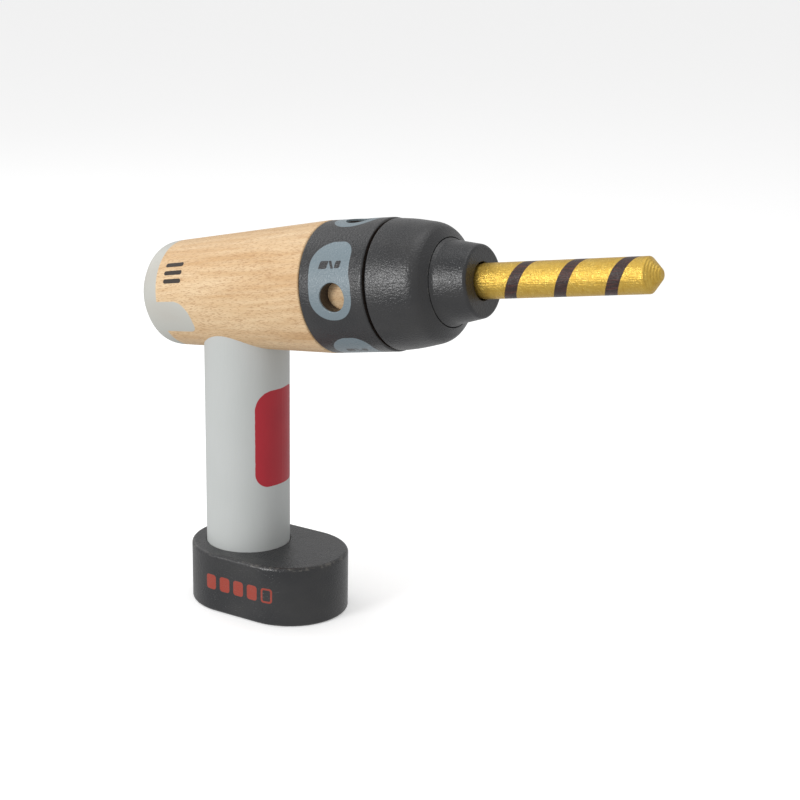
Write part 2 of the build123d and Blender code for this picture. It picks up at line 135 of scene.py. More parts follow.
# ---------------- node writing
class Graph:
    """Adds nodes to a tree and wires them."""

    def __init__(self, tree: Tree) -> None:
        """Keep the tree that nodes are added to.

        Args:
            tree: Shader or geometry tree.
        """
        self.tree = tree

    def feed(self, socket: Socket, value: Value) -> None:
        """Link a socket to a node's output, or set its constant.

        Args:
            socket: Input to feed.
            value: Output socket or constant.
        """
        if isinstance(value, Socket):
            self.tree.links.new(value, socket)
        else:
            socket.default_value = value

    def add(
        self,
        kind: str,
        sockets: Optional[Dict[Union[str, int], Value]] = None,
        **settings: object,
    ) -> bpy.types.Node:
        """Add a node.

        Args:
            kind: Blender's node type.
            sockets: Inputs by name or index.
            **settings: Node properties.

        Returns:
            The new node.
        """
        node = self.tree.nodes.new(kind)
        for name, setting in settings.items():
            setattr(node, name, setting)
        for key, value in (sockets or {}).items():
            self.feed(node.inputs[key], value)
        return node

    def math(self, operation: str, first: Value, second: Value = 0.0, third: Value = 0.0) -> Socket:
        """Add a Math node.

        Args:
            operation: Math operation.
            first: First operand.
            second: Second operand.
            third: Third operand.

        Returns:
            The result.
        """
        node = self.add("ShaderNodeMath", {0: first, 1: second, 2: third}, operation=operation)
        return node.outputs[0]

    times = partialmethod(math, "MULTIPLY")
    fused = partialmethod(math, "MULTIPLY_ADD")
    plus = partialmethod(math, "ADD")
    minus = partialmethod(math, "SUBTRACT")
    most = partialmethod(math, "MAXIMUM")
    least = partialmethod(math, "MINIMUM")
    size = partialmethod(math, "ABSOLUTE")

    def mix(self, factor: Value, first: Value, second: Value, blend: str = "MIX") -> Socket:
        """Mix two colours.

        Args:
            factor: Share of the second.
            first: First colour.
            second: Second colour.
            blend: Blend type.

        Returns:
            The mixed colour.
        """
        node = self.add("ShaderNodeMix", data_type="RGBA", blend_type=blend)
        self.feed(node.inputs[0], factor)
        self.feed(node.inputs[6], first)
        self.feed(node.inputs[7], second)
        return node.outputs[2]

    def span(
        self,
        value: Value,
        low: float,
        high: float,
        to_low: float = 0.0,
        to_high: float = 1.0,
        smooth: bool = False,
    ) -> Socket:
        """Map a range of values onto another, clamped.

        Args:
            value: Value to map.
            low: Value that gives to_low.
            high: Value that gives to_high.
            to_low: Result at low.
            to_high: Result at high.
            smooth: Ease in and out.

        Returns:
            The mapped value.
        """
        node = self.add(
            "ShaderNodeMapRange",
            {
                "Value": value,
                "From Min": low,
                "From Max": high,
                "To Min": to_low,
                "To Max": to_high,
            },
            interpolation_type="SMOOTHSTEP" if smooth else "LINEAR",
        )
        return node.outputs["Result"]

    def noise(
        self,
        vector: Value,
        stretch: Tuple[float, float, float],
        detail: float = 2.0,
        roughness: float = 0.5,
        distortion: float = 0.0,
    ) -> Socket:
        """Add a noise pattern.

        Args:
            vector: Position in millimetres.
            stretch: Cells per millimetre along each axis.
            detail: Noise octaves.
            roughness: Strength of the finer octaves.
            distortion: Warp of the pattern.

        Returns:
            The noise, 0 to 1.
        """
        scaled = self.add("ShaderNodeVectorMath", {0: vector, 1: stretch}, operation="MULTIPLY")
        node = self.add(
            "ShaderNodeTexNoise",
            {
                "Vector": scaled.outputs[0],
                "Scale": 1.0,
                "Detail": detail,
                "Roughness": roughness,
                "Distortion": distortion,
            },
        )
        return node.outputs[0]

    def group(self, effect: "ShaderEffect", sockets: Dict[str, Value]) -> Outputs:
        """Add a shader group.

        Args:
            effect: The group.
            sockets: Inputs by name.

        Returns:
            The group's outputs.
        """
        return self.add("ShaderNodeGroup", sockets, node_tree=effect.tree()).outputs

    def bump(
        self, height: Value, distance: float, strength: float, normal: Optional[Value] = None
    ) -> Socket:
        """Turn a height into a normal.

        Args:
            height: Height pattern.
            distance: Height in millimetres where the pattern is 1.
            strength: Share of the bump that shows.
            normal: Normal to start from, if not the surface's.

        Returns:
            The bumped normal.
        """
        sockets = {"Height": height, "Distance": distance * MM, "Strength": strength}
        if normal is not None:
            sockets["Normal"] = normal
        return self.add("ShaderNodeBump", sockets).outputs[0]


class ShaderEffect:
    """A shader group shared by several materials."""

    name = "effect"
    inputs: Dict[str, str] = {}
    outputs: Dict[str, str] = {}

    def tree(self) -> Tree:
        """Build the group once.

        Returns:
            The group's tree.
        """
        known = bpy.data.node_groups.get(self.name)
        if known is not None:
            return known
        tree = bpy.data.node_groups.new(self.name, "ShaderNodeTree")
        for way, sockets in (("INPUT", self.inputs), ("OUTPUT", self.outputs)):
            for label, kind in sockets.items():
                tree.interface.new_socket(name=label, in_out=way, socket_type=kind)
        graph = Graph(tree)
        source = tree.nodes.new("NodeGroupInput")
        target = tree.nodes.new("NodeGroupOutput")
        results = self.wire(graph, {label: source.outputs[label] for label in self.inputs})
        for label, value in results.items():
            graph.feed(target.inputs[label], value)
        return tree

    def wire(self, graph: Graph, given: Dict[str, Socket]) -> Dict[str, Socket]:
        """Wire the group's inside.

        Args:
            graph: Writer for the group's tree.
            given: The group's inputs.

        Returns:
            The group's outputs by name.
        """
        raise NotImplementedError


class TurnedFrame(ShaderEffect):
    """Millimetre coordinates about an axis: position, angle from the near side, radius."""

    name = "turned_frame"
    inputs = {"Object": VECTOR, "Location": VECTOR, "Turn": VECTOR}
    outputs = {"Position": VECTOR, "Station": FLOAT, "Angle": FLOAT, "Radius": FLOAT}

    def wire(self, graph: Graph, given: Dict[str, Socket]) -> Dict[str, Socket]:
        """Wire the change of frame. See ShaderEffect.wire."""
        local = graph.add(
            "ShaderNodeMapping",
            {
                "Vector": given["Object"],
                "Location": given["Location"],
                "Rotation": given["Turn"],
                "Scale": (MM, MM, MM),
            },
            vector_type="TEXTURE",
        ).outputs[0]
        parts = graph.add("ShaderNodeSeparateXYZ", {0: local})
        near = graph.times(parts.outputs[1], -1.0)
        turn = graph.math("ARCTAN2", parts.outputs[2], near)
        square = graph.times(near, near)
        radius = graph.math("SQRT", graph.fused(parts.outputs[2], parts.outputs[2], square))
        return {
            "Position": local,
            "Station": parts.outputs[0],
            "Angle": graph.math("DEGREES", turn),
            "Radius": radius,
        }


class RoundedPatch(ShaderEffect):
    """A filled rounded rectangle on a developed surface."""

    name = "rounded_patch"
    inputs = dict.fromkeys(
        ("Along", "Across", "Half Length", "Half Width", "Corner", "Softness"), FLOAT
    )
    outputs = {"Mask": FLOAT}

    def wire(self, graph: Graph, given: Dict[str, Socket]) -> Dict[str, Socket]:
        """Wire the signed distance. See ShaderEffect.wire."""
        outside = []
        for offset, half in (("Along", "Half Length"), ("Across", "Half Width")):
            reach = graph.minus(graph.size(given[offset]), given[half])
            outside.append(graph.plus(reach, given["Corner"]))
        beyond = [graph.most(value, 0.0) for value in outside]
        square = graph.times(beyond[0], beyond[0])
        length = graph.math("SQRT", graph.fused(beyond[1], beyond[1], square))
        inner = graph.least(graph.most(outside[0], outside[1]), 0.0)
        distance = graph.minus(graph.plus(length, inner), given["Corner"])
        share = graph.math("DIVIDE", distance, given["Softness"])
        return {"Mask": graph.span(share, 1.0, -1.0, smooth=True)}


class BeechGrain(ShaderEffect):
    """Beech cut along X: broad tone, fine fibre and short dark rays.

    Attributes:
        pith: Distance of the tree's middle below the axis, sideways and down.
        ring_rate: Growth rings, in radians per millimetre.
    """

    name = "beech_grain"
    pith = (46.0, 30.0)
    ring_rate = 1.9
    inputs = {"Position": VECTOR}
    outputs = dict.fromkeys(("Tone", "Fibre", "Ray", "Height"), FLOAT)

    def wire(self, graph: Graph, given: Dict[str, Socket]) -> Dict[str, Socket]:
        """Wire the grain. See ShaderEffect.wire."""
        position = given["Position"]
        broad = graph.noise(position, (0.012, 0.10, 0.10), 3.0, 0.55, 0.4)
        parts = graph.add("ShaderNodeSeparateXYZ", {0: position})
        side = graph.plus(parts.outputs[1], self.pith[0])
        lift = graph.plus(parts.outputs[2], self.pith[1])
        square = graph.times(side, side)
        pith = graph.math("SQRT", graph.fused(lift, lift, square))
        wander = graph.noise(position, (0.018, 0.05, 0.05), 2.0, 0.5)
        rings = graph.fused(wander, 11.0, pith)
        wave = graph.math("SINE", graph.times(rings, self.ring_rate))
        wave = graph.span(wave, -1.0, 1.0, 0.0, 1.0)
        band = graph.noise(position, (0.014, 0.38, 0.38), 2.0, 0.5, 0.3)
        tone = graph.fused(wave, 0.06, graph.times(broad, 0.56))
        tone = graph.fused(band, 0.34, tone)
        fibre = graph.noise(position, (0.09, 2.4, 2.4), 3.0, 0.6)
        dashes = graph.noise(position, (0.50, 3.6, 3.6), 1.0, 0.4)
        gather = graph.noise(position, (0.03, 0.12, 0.12), 2.0, 0.5)
        cut = graph.span(gather, 0.3, 0.7, 0.585, 0.555)
        ray = graph.span(graph.minus(dashes, cut), 0.0, 0.05, smooth=True)
        height = graph.fused(ray, -0.5, graph.times(fibre, 0.6))
        return {"Tone": tone, "Fibre": fibre, "Ray": ray, "Height": height}


class PaintSkin(ShaderEffect):
    """Sprayed paint over sanded wood: pebbled skin, sunk grain and cloudy sheen."""

    name = "paint_skin"
    inputs = {"Position": VECTOR, "Pebble": FLOAT, "Grain": FLOAT}
    outputs = {"Normal": VECTOR, "Cloud": FLOAT, "Pebbles": FLOAT}

    def wire(self, graph: Graph, given: Dict[str, Socket]) -> Dict[str, Socket]:
        """Wire the skin. See ShaderEffect.wire."""
        position = given["Position"]
        pebbles = graph.noise(position, (1.2, 1.5, 1.5), 2.0, 0.55, 0.5)
        sunk = graph.noise(position, (0.10, 1.5, 1.5), 2.0, 0.55)
        cloud = graph.noise(position, (0.05, 0.07, 0.07), 3.0, 0.5)
        grain = graph.times(sunk, given["Grain"])
        height = graph.fused(pebbles, given["Pebble"], grain)
        return {"Normal": graph.bump(height, 0.1, 1.0), "Cloud": cloud, "Pebbles": pebbles}


class EdgeWearAndHighlight(ShaderEffect):
    """Paler paint on rounded edges, broken up so that only some stretches show it: partly worn
    paint, partly painted highlight where the rims catch the light.
    """

    name = "edge_wear_and_highlight"
    inputs = {"Position": VECTOR, "Edge": FLOAT, "Amount": FLOAT}
    outputs = {"Mask": FLOAT}

    def wire(self, graph: Graph, given: Dict[str, Socket]) -> Dict[str, Socket]:
        """Wire the scuffs. See ShaderEffect.wire."""
        patchiness = graph.noise(given["Position"], (0.3, 0.3, 0.5), 4.0, 0.68, 0.8)
        broken = graph.span(patchiness, 0.50, 0.66, smooth=True)
        worn_and_highlit = graph.times(given["Edge"], broken)
        return {"Mask": graph.times(worn_and_highlit, given["Amount"])}


FRAME = TurnedFrame()
PATCH = RoundedPatch()
GRAIN = BeechGrain()
SKIN = PaintSkin()
WEAR_AND_HIGHLIGHT = EdgeWearAndHighlight()
FINISHED: Dict[str, bpy.types.Material] = {}


# ---------------- finishes
@dataclass(frozen=True)
class Finish:
    """A procedural finish about an axis.

    Attributes:
        name: Material name.
        axle: Axis that the pattern follows.
    """

    name: str
    axle: Axle

    def material(self) -> bpy.types.Material:
        """Build the material, or give the one already built.

        Returns:
            The material.
        """
        if self.name in FINISHED:
            return FINISHED[self.name]
        material = bpy.data.materials.new(self.name)
        FINISHED[self.name] = material
        material.use_nodes = True
        material.node_tree.nodes.clear()
        graph = Graph(material.node_tree)
        place = graph.add("ShaderNodeTexCoord").outputs["Object"]
        local = graph.group(
            FRAME, {"Object": place, "Location": self.axle.location, "Turn": self.axle.turn}
        )
        looks: Dict[str, Value] = {}
        self.wire(graph, local, looks)
        shader = graph.add("ShaderNodeBsdfPrincipled", looks)
        output = graph.add("ShaderNodeOutputMaterial")
        graph.feed(output.inputs["Surface"], shader.outputs[0])
        return material

    def wire(self, graph: Graph, local: Outputs, looks: Dict[str, Value]) -> None:
        """Wire the finish.

        Args:
            graph: Writer for the material's tree.
            local: Position, Station, Angle and Radius about the axis.
            looks: Inputs of the Principled shader, to be filled in.
        """
        raise NotImplementedError


def rounded(
    graph: Graph,
    along: Value,
    across: Value,
    half: Tuple[float, float],
    corner: Value,
    softness: float = PRINT_EDGE,
) -> Socket:
    """Wire a rounded rectangle about the origin.

    Args:
        graph: Writer for the material's tree.
        along: Millimetres along the axis.
        across: Millimetres round the surface.
        half: Half sizes along and across.
        corner: Corner radius.
        softness: Half width of the soft edge.

    Returns:
        1 inside the rectangle.
    """
    sockets = {"Along": along, "Across": across, "Half Length": half[0], "Half Width": half[1]}
    sockets.update({"Corner": corner, "Softness": softness})
    return graph.group(PATCH, sockets)[0]


@dataclass(frozen=True)
class Patch:
    """A rounded printed patch on a turned surface, in millimetres.

    Attributes:
        station: Centre along the axis.
        arc: Centre round the surface.
        half_length: Half size along the axis.
        half_width: Half size round the surface.
        corner: Corner radius.
        shear: Slant, in millimetres along the axis per millimetre round the surface.
    """

    station: float
    arc: float
    half_length: float
    half_width: float
    corner: float
    shear: float = 0.0

    def mask(
        self, graph: Graph, station: Value, arc: Value, softness: float = PRINT_EDGE
    ) -> Socket:
        """Wire the patch's mask.

        Args:
            graph: Writer for the material's tree.
            station: Millimetres along the axis.
            arc: Millimetres round the surface.
            softness: Half width of the soft edge.

        Returns:
            1 inside the patch.
        """
        across = graph.minus(arc, self.arc)
        along = graph.minus(station, self.station)
        if self.shear:
            along = graph.fused(across, -self.shear, along)
        return rounded(
            graph, along, across, (self.half_length, self.half_width), self.corner, softness
        )


@dataclass(frozen=True)
class BarrelFinish(Finish):
    """Oiled beech with a grey painted rear, side tongues and three printed slots on each side.

    Attributes:
        light: Pale wood.
        dark: Darker wood.
        ray: Colour of the short rays.
        grey: Rear paint.
        print_dark: Printed slots.
        grey_edge: Station of the grey paint's front edge.
        tongue_upper: Upper front corner of the painted tongue on each side.
        tongue_lower: Lower front corner of the tongue.
        slots: Printed slots on each side.
        surface_radius: Radius that arcs are measured at.
        wobble: How far a painted edge wanders.
    """

    light: Colour = srgb(227, 198, 158)
    dark: Colour = srgb(206, 168, 122)
    ray: Colour = srgb(160, 112, 72)
    grey: Colour = srgb(190, 191, 185)
    print_dark: Colour = srgb(52, 44, 38)
    grey_edge: float = -29.7
    tongue_upper: Patch = Patch(-29.9, -12.0, 16.7, 12.0, 8.2)
    tongue_lower: Patch = Patch(-29.9, -1.8, 16.7, 12.0, 3.6)
    slots: Tuple[Patch, ...] = tuple(
        Patch(-20.95, arc, 4.75, 0.92, 0.9) for arc in (8.2, 11.65, 15.15)
    )
    surface_radius: float = 22.0
    wobble: float = 0.12

    def wire(self, graph: Graph, local: Outputs, looks: Dict[str, Value]) -> None:
        """Wire the finish. See Finish.wire."""
        grain = graph.group(GRAIN, {"Position": local["Position"]})
        tone = graph.span(grain["Tone"], 0.38, 0.62)
        wood = graph.mix(tone, self.light, self.dark)
        fibre = graph.span(grain["Fibre"], 0.25, 0.75, 0.91, 1.07)
        shade = graph.add("ShaderNodeCombineColor", dict.fromkeys((0, 1, 2), fibre)).outputs[0]
        wood = graph.mix(1.0, wood, shade, "MULTIPLY")
        wood = graph.mix(graph.times(grain["Ray"], 0.46), wood, self.ray)

        wobble = graph.noise(local["Position"], (0.5, 0.5, 0.5), 3.0)
        edge_shift = graph.span(wobble, 0.0, 1.0, -self.wobble, self.wobble)
        station = graph.plus(local["Station"], edge_shift)
        parts = graph.add("ShaderNodeSeparateXYZ", {0: local["Position"]})
        side = graph.size(parts.outputs[1])
        lift = graph.math("ARCTAN2", parts.outputs[2], side)
        arc = graph.fused(lift, self.surface_radius, edge_shift)
        front = self.grey_edge
        rear = graph.span(station, front + PRINT_EDGE, front - PRINT_EDGE, smooth=True)
        upper = self.tongue_upper.mask(graph, station, arc)
        tongue = graph.least(upper, self.tongue_lower.mask(graph, station, arc))
        grey = graph.most(rear, tongue)
        slots = [patch.mask(graph, station, arc) for patch in self.slots]
        dark = graph.most(graph.most(slots[0], slots[1]), slots[2])
        cloud = graph.noise(local["Position"], (0.04, 0.1, 0.1), 3.0)
        grey_tone = graph.mix(graph.span(cloud, 0.3, 0.7, 0.0, 0.10), self.grey, self.ray)
        colour = graph.mix(grey, wood, grey_tone)
        colour = graph.mix(dark, colour, self.print_dark)
        looks["Base Color"] = colour

        painted = graph.most(grey, dark)
        wood_rough = graph.span(grain["Fibre"], 0.2, 0.8, 0.46, 0.60)
        rough = graph.fused(painted, -0.06, wood_rough)
        looks["Roughness"] = rough
        looks["Specular IOR Level"] = 0.42
        filled = graph.span(painted, 0.0, 1.0, 1.0, 0.3)
        height = graph.times(grain["Height"], filled)
        height = graph.fused(painted, 0.55, height)
        looks["Normal"] = graph.bump(height, 0.05, 0.7)


@dataclass(frozen=True)
class HandleFinish(Finish):
    """Satin grey paint over beech with a red painted trigger patch at the front.

    Attributes:
        grey: Main paint.
        red: Trigger paint.
        centre: Height of the patch's centre.
        half_length: Half height of the patch.
        half_width: Half width of the patch round the handle.
        upper_corner: Radius of the upper corners.
        lower_corner: Radius of the lower corners.
        surface_radius: Handle radius.
        wobble: How far a painted edge wanders.
        warm: Grain showing through the grey.
        cool: Thicker grey.
        deep_red: Thicker red.
    """

    grey: Colour = srgb(192, 195, 194)
    red: Colour = srgb(178, 34, 48)
    centre: float = 73.7
    half_length: float = 20.5
    half_width: float = 13.2
    upper_corner: float = 8.0
    lower_corner: float = 6.0
    surface_radius: float = 17.5
    wobble: float = 0.15
    warm: Colour = srgb(150, 146, 132)
    cool: Colour = srgb(176, 182, 178)
    deep_red: Colour = srgb(140, 24, 40)

    def wire(self, graph: Graph, local: Outputs, looks: Dict[str, Value]) -> None:
        """Wire the finish. See Finish.wire."""
        grain = graph.group(GRAIN, {"Position": local["Position"]})
        skin = graph.group(SKIN, {"Position": local["Position"], "Pebble": 0.10, "Grain": 0.25})
        wobble = graph.noise(local["Position"], (0.5, 0.5, 0.5), 3.0)
        edge_shift = graph.span(wobble, 0.0, 1.0, -self.wobble, self.wobble)
        front = graph.math("RADIANS", graph.plus(local["Angle"], 90.0))
        arc = graph.fused(front, self.surface_radius, edge_shift)
        station = graph.plus(local["Station"], edge_shift)
        height = graph.minus(station, self.centre)
        corner = graph.span(height, -4.0, 4.0, self.lower_corner, self.upper_corner)
        red = rounded(graph, height, arc, (self.half_length, self.half_width), corner)
        streak = graph.span(grain["Fibre"], 0.25, 0.8, 0.0, 0.07)
        grey = graph.mix(streak, self.grey, self.warm)
        grey = graph.mix(graph.span(skin["Cloud"], 0.35, 0.7, 0.0, 0.16), grey, self.cool)
        thick = graph.span(skin["Cloud"], 0.3, 0.7, 0.0, 0.3)
        red_tone = graph.mix(thick, self.red, self.deep_red)
        looks["Base Color"] = graph.mix(red, grey, red_tone)
        rough = graph.span(skin["Pebbles"], 0.2, 0.8, 0.42, 0.52)
        looks["Roughness"] = graph.fused(red, -0.05, rough)
        looks["Specular IOR Level"] = 0.4
        looks["Normal"] = graph.bump(red, 0.04, 0.7, skin["Normal"])


@dataclass(frozen=True)
class BlackFinish(Finish):
    """Semi-gloss charcoal paint with paler rounded edges, partly worn paint and partly painted
    highlight.

    Attributes:
        paint: Paint colour.
        scuff_dust_and_highlight: Paler colour of the dust, the worn edges and the painted edge
            highlight.
        pebble: Height of the pebbled skin.
        grain: Height of the sunk grain.
        gloss: Lowest roughness.
        wear_and_highlight: Share of the edges that is painted paler, as wear and painted highlight.
        edge_width: How far from an edge the paler paint, wear and painted highlight, reaches.
        specular: Strength of the paint's shine.
    """

    paint: Colour = srgb(31, 32, 35)
    scuff_dust_and_highlight: Colour = srgb(112, 108, 102)
    pebble: float = 2.0
    grain: float = 0.7
    gloss: float = 0.25
    wear_and_highlight: float = 0.5
    edge_width: float = 0.9
    specular: float = 0.62

    def marks(self, graph: Graph, local: Outputs) -> List[Tuple[Socket, Colour]]:
        """Wire what is printed on the paint.

        Args:
            graph: Writer for the material's tree.
            local: Coordinates about the axis.

        Returns:
            Masks and their colours, the lowest layer first.
        """
        return []

    def edge(self, graph: Graph, local: Outputs) -> Socket:
        """Wire the edges that are painted paler, as wear and painted highlight.

        Args:
            graph: Writer for the material's tree.
            local: Coordinates about the axis.

        Returns:
            1 on the edges.
        """
        flat = graph.add("ShaderNodeNewGeometry").outputs["Normal"]
        soft = graph.add("ShaderNodeBevel", {"Radius": self.edge_width * MM}, samples=4)
        both = {0: flat, 1: soft.outputs[0]}
        likeness = graph.add("ShaderNodeVectorMath", both, operation="DOT_PRODUCT")
        return graph.span(likeness.outputs["Value"], 0.995, 0.90)

    def wire(self, graph: Graph, local: Outputs, looks: Dict[str, Value]) -> None:
        """Wire the finish. See Finish.wire."""
        colour: Value = self.paint
        cover: Value = 0.0
        for mask, print_colour in self.marks(graph, local):
            colour = graph.mix(mask, colour, print_colour)
            cover = graph.most(cover, mask)
        place = local["Position"]
        skin = graph.group(SKIN, {"Position": place, "Pebble": self.pebble, "Grain": self.grain})
        edge = self.edge(graph, local)
        wear_and_highlight = graph.group(WEAR_AND_HIGHLIGHT, {"Position": place, "Edge": edge, "Amount": self.wear_and_highlight})[0]
        dust = graph.span(skin["Cloud"], 0.35, 0.75, 0.0, 0.10)
        colour = graph.mix(dust, colour, self.scuff_dust_and_highlight)
        # Paler paint on the edges: partly worn paint, partly painted highlight.
        looks["Base Color"] = graph.mix(wear_and_highlight, colour, self.scuff_dust_and_highlight)
        sheen = graph.span(skin["Pebbles"], 0.25, 0.75, self.gloss, self.gloss + 0.12)
        cloud = graph.span(skin["Cloud"], 0.3, 0.7, -0.03, 0.05)
        looks["Roughness"] = graph.plus(sheen, cloud)
        looks["Specular IOR Level"] = self.specular
        looks["Normal"] = graph.bump(cover, 0.03, 0.6, skin["Normal"])


@dataclass(frozen=True)
class RingFinish(BlackFinish):
    """Charcoal ring with a slate panel round each window and three plain marks above it.

    Attributes:
        slate: Panel paint.
        bore: Stained wood inside the windows.
        window_station: Station of the windows.
        arc_per_degree: Millimetres round the ring per degree.
        outer_limit: Radius below which a surface is inside a window.
        tiles: Printed marks.
        panel_half: Half sizes of a panel along and across.
        panel_arc: Panel's centre round the ring, from its window.
        panel_shift: How far behind the window the panel's centre lies.
        corners: Corner radii above the waist, behind and in front, and below it.
        waist: Depth of the waist in the panel's front edge.
    """

    slate: Colour = srgb(116, 131, 139)
    bore: Colour = srgb(44, 33, 27)
    window_station: float = 60.4
    arc_per_degree: float = 0.4547
    outer_limit: float = 25.45
    tiles: Tuple[Patch, ...] = (
        Patch(56.6, 12.75, 1.9, 1.6, 0.6, 0.25),
        Patch(60.1, 12.75, 0.62, 1.6, 0.3, -0.42),
        Patch(63.1, 12.75, 1.25, 1.5, 0.7, 0.20),
    )
    panel_half: Tuple[float, float] = (9.6, 15.9)
    panel_arc: float = 6.8
    panel_shift: float = 0.7
    corners: Tuple[float, float, float] = (10.5, 6.0, 9.2)
    waist: float = 0.9

    def marks(self, graph: Graph, local: Outputs) -> List[Tuple[Socket, Colour]]:
        """Wire the panels. See BlackFinish.marks."""
        turn = graph.math("WRAP", local["Angle"], 60.0, -30.0)
        arc = graph.times(turn, self.arc_per_degree)
        station = local["Station"]
        along = graph.minus(station, self.window_station - self.panel_shift)
        hollow = graph.span(arc, 4.0, 10.0, smooth=True)
        in_front = graph.span(along, 0.0, 6.0)
        waist = graph.times(graph.times(hollow, in_front), self.waist)
        across = graph.minus(arc, self.panel_arc)
        rear_corner, front_corner, low_corner = self.corners
        upper = graph.span(along, -2.0, 2.0, rear_corner, front_corner)
        lower = graph.span(across, 6.0, -4.0)
        gain = graph.minus(low_corner, upper)
        corner = graph.fused(gain, lower, upper)
        along = graph.plus(along, waist)
        layers = [(rounded(graph, along, across, self.panel_half, corner), self.slate)]
        for tile in self.tiles:
            layers.append((tile.mask(graph, station, arc, 0.1), self.paint))
        inside = graph.span(local["Radius"], self.outer_limit, self.outer_limit - 0.35)
        layers.append((inside, self.bore))
        return layers


@dataclass(frozen=True)
class BaseFinish(BlackFinish):
    """Charcoal battery with a generic charge gauge printed on its side.

    Attributes:
        ink: Print colour.
        bars: Printed bars, along X and up.
        side: Distance of the printed side from the middle plane.
        wall: Line width of the empty bar.
    """

    ink: Colour = srgb(156, 54, 36)
    bars: Tuple[Patch, ...] = ()
    side: float = 18.0
    wall: float = 0.8

    def edge(self, graph: Graph, local: Outputs) -> Socket:
        """Wire the rounded rims, painted paler as wear and painted highlight. See BlackFinish.edge.
        """
        facing = graph.add("ShaderNodeNewGeometry").outputs["Normal"]
        lift = graph.add("ShaderNodeSeparateXYZ", {0: facing}).outputs[2]
        tilt = graph.minus(graph.size(lift), 0.6)
        return graph.span(graph.size(tilt), 0.42, 0.28)

    def marks(self, graph: Graph, local: Outputs) -> List[Tuple[Socket, Colour]]:
        """Wire the gauge. See BlackFinish.marks."""
        parts = graph.add("ShaderNodeSeparateXYZ", {0: local["Position"]})
        near = graph.span(parts.outputs[1], -self.side, -self.side - 0.5)
        layers = []
        for bar in self.bars:
            shape = bar.mask(graph, parts.outputs[0], parts.outputs[2], 0.1)
            layers.append((graph.times(shape, near), self.ink))
        last, wall = self.bars[-1], self.wall
        inside = (last.half_length - wall, last.half_width - wall)
        hollow = Patch(last.station, last.arc, *inside, 0.6)
        empty = hollow.mask(graph, parts.outputs[0], parts.outputs[2], 0.1)
        layers.append((graph.times(empty, near), self.paint))
        return layers


@dataclass(frozen=True)
class GoldFinish(Finish):
    """Metallic gold paint brushed round the bit, with a dark helical stripe.

    Attributes:
        gold: Main paint.
        deep: Thinner paint.
        stripe: Stripe colour.
        streak: Wood showing through the stripe.
        pitch: Stripe pitch.
        stripe_station: Station of the stripe at the near side.
        stripe_width: Stripe width along the axis.
        stripe_start: Station where the stripe begins.
        stripe_end: Station where the stripe runs out.
        cone_start: Station where the turned tip starts.
        glint: Brighter flakes.
        ridges: Turned ridges on the tip, in radians per millimetre.
    """

    gold: Colour = srgb(226, 190, 92)
    deep: Colour = srgb(206, 164, 66)
    stripe: Colour = srgb(46, 27, 25)
    streak: Colour = srgb(110, 52, 38)
    pitch: float = 20.6
    stripe_station: float = 128.4
    stripe_width: float = 5.1
    stripe_start: float = 118.0
    stripe_end: float = 178.5
    cone_start: float = 179.5
    glint: Colour = srgb(246, 226, 140)
    ridges: float = 7.5

    def wire(self, graph: Graph, local: Outputs, looks: Dict[str, Value]) -> None:
        """Wire the finish. See Finish.wire."""
        station = local["Station"]
        wobble = graph.noise(local["Position"], (0.6, 0.6, 0.6), 3.0)
        shifted = graph.plus(station, graph.span(wobble, 0.0, 1.0, -0.15, 0.15))
        lead = graph.times(local["Angle"], self.pitch / 360)
        along = graph.minus(graph.minus(shifted, lead), self.stripe_station)
        half = self.pitch / 2
        nearest = graph.size(graph.math("WRAP", along, half, -half))
        edge, soft = self.stripe_width / 2, 0.1
        stripe = graph.span(nearest, edge + soft, edge - soft, smooth=True)
        for end, way in ((self.stripe_end, soft), (self.stripe_start, -soft)):
            stripe = graph.times(stripe, graph.span(station, end + way, end - way))
        brush = graph.noise(local["Position"], (1.1, 0.5, 0.5), 4.0, 0.62, 0.8)
        flake = graph.noise(local["Position"], (2.6, 2.6, 2.6), 2.0, 0.6)
        fibre = graph.noise(local["Position"], (0.16, 3.0, 3.0), 3.0, 0.6)
        gold = graph.mix(graph.span(brush, 0.32, 0.72), self.gold, self.deep)
        gold = graph.mix(graph.span(flake, 0.55, 0.75, 0.0, 0.3), gold, self.glint)
        dark = graph.mix(graph.span(fibre, 0.52, 0.72), self.stripe, self.streak)
        looks["Base Color"] = graph.mix(stripe, gold, dark)
        looks["Metallic"] = graph.span(stripe, 0.0, 1.0, 0.86, 0.0)
        rough = graph.span(brush, 0.25, 0.75, 0.24, 0.38)
        looks["Roughness"] = rough
        phase = graph.times(brush, 6.0)
        phase = graph.fused(local["Radius"], self.ridges, phase)
        on_cone = graph.span(station, self.cone_start, self.cone_start + 1.5)
        rings = graph.times(graph.math("SINE", phase), on_cone)
        height = graph.times(fibre, 0.7)
        for layer, depth in ((brush, 0.55), (flake, 0.40), (rings, 0.22), (stripe, 0.2)):
            height = graph.fused(layer, depth, height)
        looks["Normal"] = graph.bump(height, 0.32, 0.9)


@dataclass(frozen=True)
class BareWoodFinish(Finish):
    """Plain sanded beech.

    Attributes:
        light: Pale wood.
        dark: Darker wood.
        ray: Colour of the short rays.
    """

    light: Colour = srgb(224, 190, 148)
    dark: Colour = srgb(190, 148, 104)
    ray: Colour = srgb(150, 104, 66)

    def wire(self, graph: Graph, local: Outputs, looks: Dict[str, Value]) -> None:
        """Wire the finish. See Finish.wire."""
        grain = graph.group(GRAIN, {"Position": local["Position"]})
        tone = graph.span(grain["Tone"], 0.3, 0.7)
        colour = graph.mix(tone, self.light, self.dark)
        colour = graph.mix(graph.times(grain["Ray"], 0.6), colour, self.ray)
        looks["Base Color"] = colour
        looks["Roughness"] = graph.span(grain["Fibre"], 0.2, 0.8, 0.6, 0.78)
        looks["Normal"] = graph.bump(grain["Height"], 0.06, 0.7)


